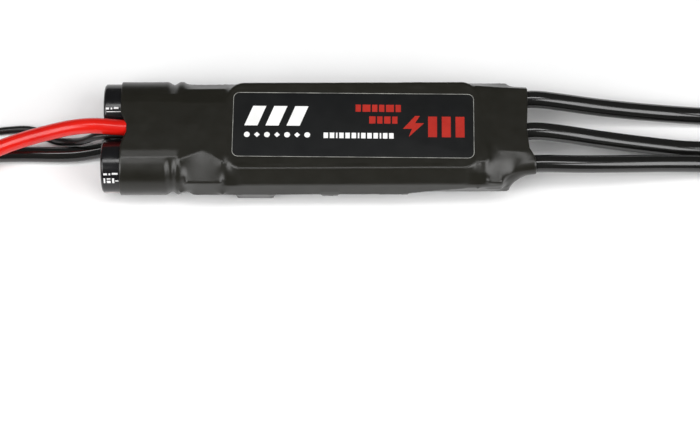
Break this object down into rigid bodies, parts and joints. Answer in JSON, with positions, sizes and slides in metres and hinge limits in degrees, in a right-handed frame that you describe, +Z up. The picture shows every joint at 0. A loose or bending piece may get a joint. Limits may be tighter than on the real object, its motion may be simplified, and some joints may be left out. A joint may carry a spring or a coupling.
{
  "type": "electronic speed controller",
  "caption": "Slim inline speed controller for a brushless motor in a black heat-shrink sleeve, with capacitors, power leads and a signal lead at one end and motor leads at the other.",
  "frame": {"origin": "on the surface it lies on, under the middle of the body without its leads", "axes": "+X along the body from the battery end to the motor end, +Y to the back, +Z up through the label"},
  "size_m": [0.265, 0.024, 0.0124],
  "materials": {
    "sleeve_film": "satin",
    "label_film": "satin",
    "heat_sink": "milled",
    "thermal_pad": "matte",
    "board": "solder mask",
    "copper": "bare copper",
    "chip": "moulded",
    "ceramic": "fired ceramic",
    "tinned": "tinned",
    "capacitor_jacket": "glossy film",
    "capacitor_can": "drawn",
    "capacitor_bung": "moulded",
    "capacitor_winding": "wound foil and paper",
    "red_silicone": "satin",
    "black_silicone": "satin",
    "core_insulation": "satin",
    "tie_plastic": "moulded",
    "plug_plastic": "moulded",
    "contact_metal": "stamped"
  },
  "bodies": {
    "root": {"battery_lead_black": "black_silicone", "battery_lead_conductors": "tinned", "battery_lead_red": "red_silicone", "battery_lead_tips": "tinned", "capacitor_bung_front": "capacitor_bung", "capacitor_bung_rear": "capacitor_bung", "capacitor_can_front": "capacitor_can", "capacitor_can_rear": "capacitor_can", "capacitor_jacket_front": "capacitor_jacket", "capacitor_jacket_rear": "capacitor_jacket", "capacitor_winding_front": "capacitor_winding", "capacitor_winding_rear": "capacitor_winding", "capacitor_wires_front": "tinned", "capacitor_wires_rear": "tinned", "ceramic_capacitors": "ceramic", "chip_resistors": "chip", "circuit_board": "board", "copper_pads": "copper", "current_shunt": "tinned", "edge_chip_capacitor": "ceramic", "gate_drivers": "chip", "hank_tie": "tie_plastic", "heat_shrink_sleeve": "sleeve_film", "heat_sink_plate": "heat_sink", "insulating_pad": "thermal_pad", "label_sticker": "label_film", "microcontroller": "chip", "microcontroller_pins": "tinned", "motor_lead_a": "black_silicone", "motor_lead_b": "black_silicone", "motor_lead_c": "black_silicone", "motor_lead_conductors": "tinned", "motor_lead_tips": "tinned", "power_mosfets_lower": "chip", "power_mosfets_upper": "chip", "signal_lead": "black_silicone", "signal_lead_cores": "core_insulation", "signal_lead_hank": "black_silicone", "signal_plug_contacts": "contact_metal", "signal_plug_cores": "core_insulation", "signal_plug_housing": "plug_plastic", "solder_joints": "tinned", "thermal_pad": "thermal_pad", "voltage_regulator": "chip"}
  },
  "joints": []
}
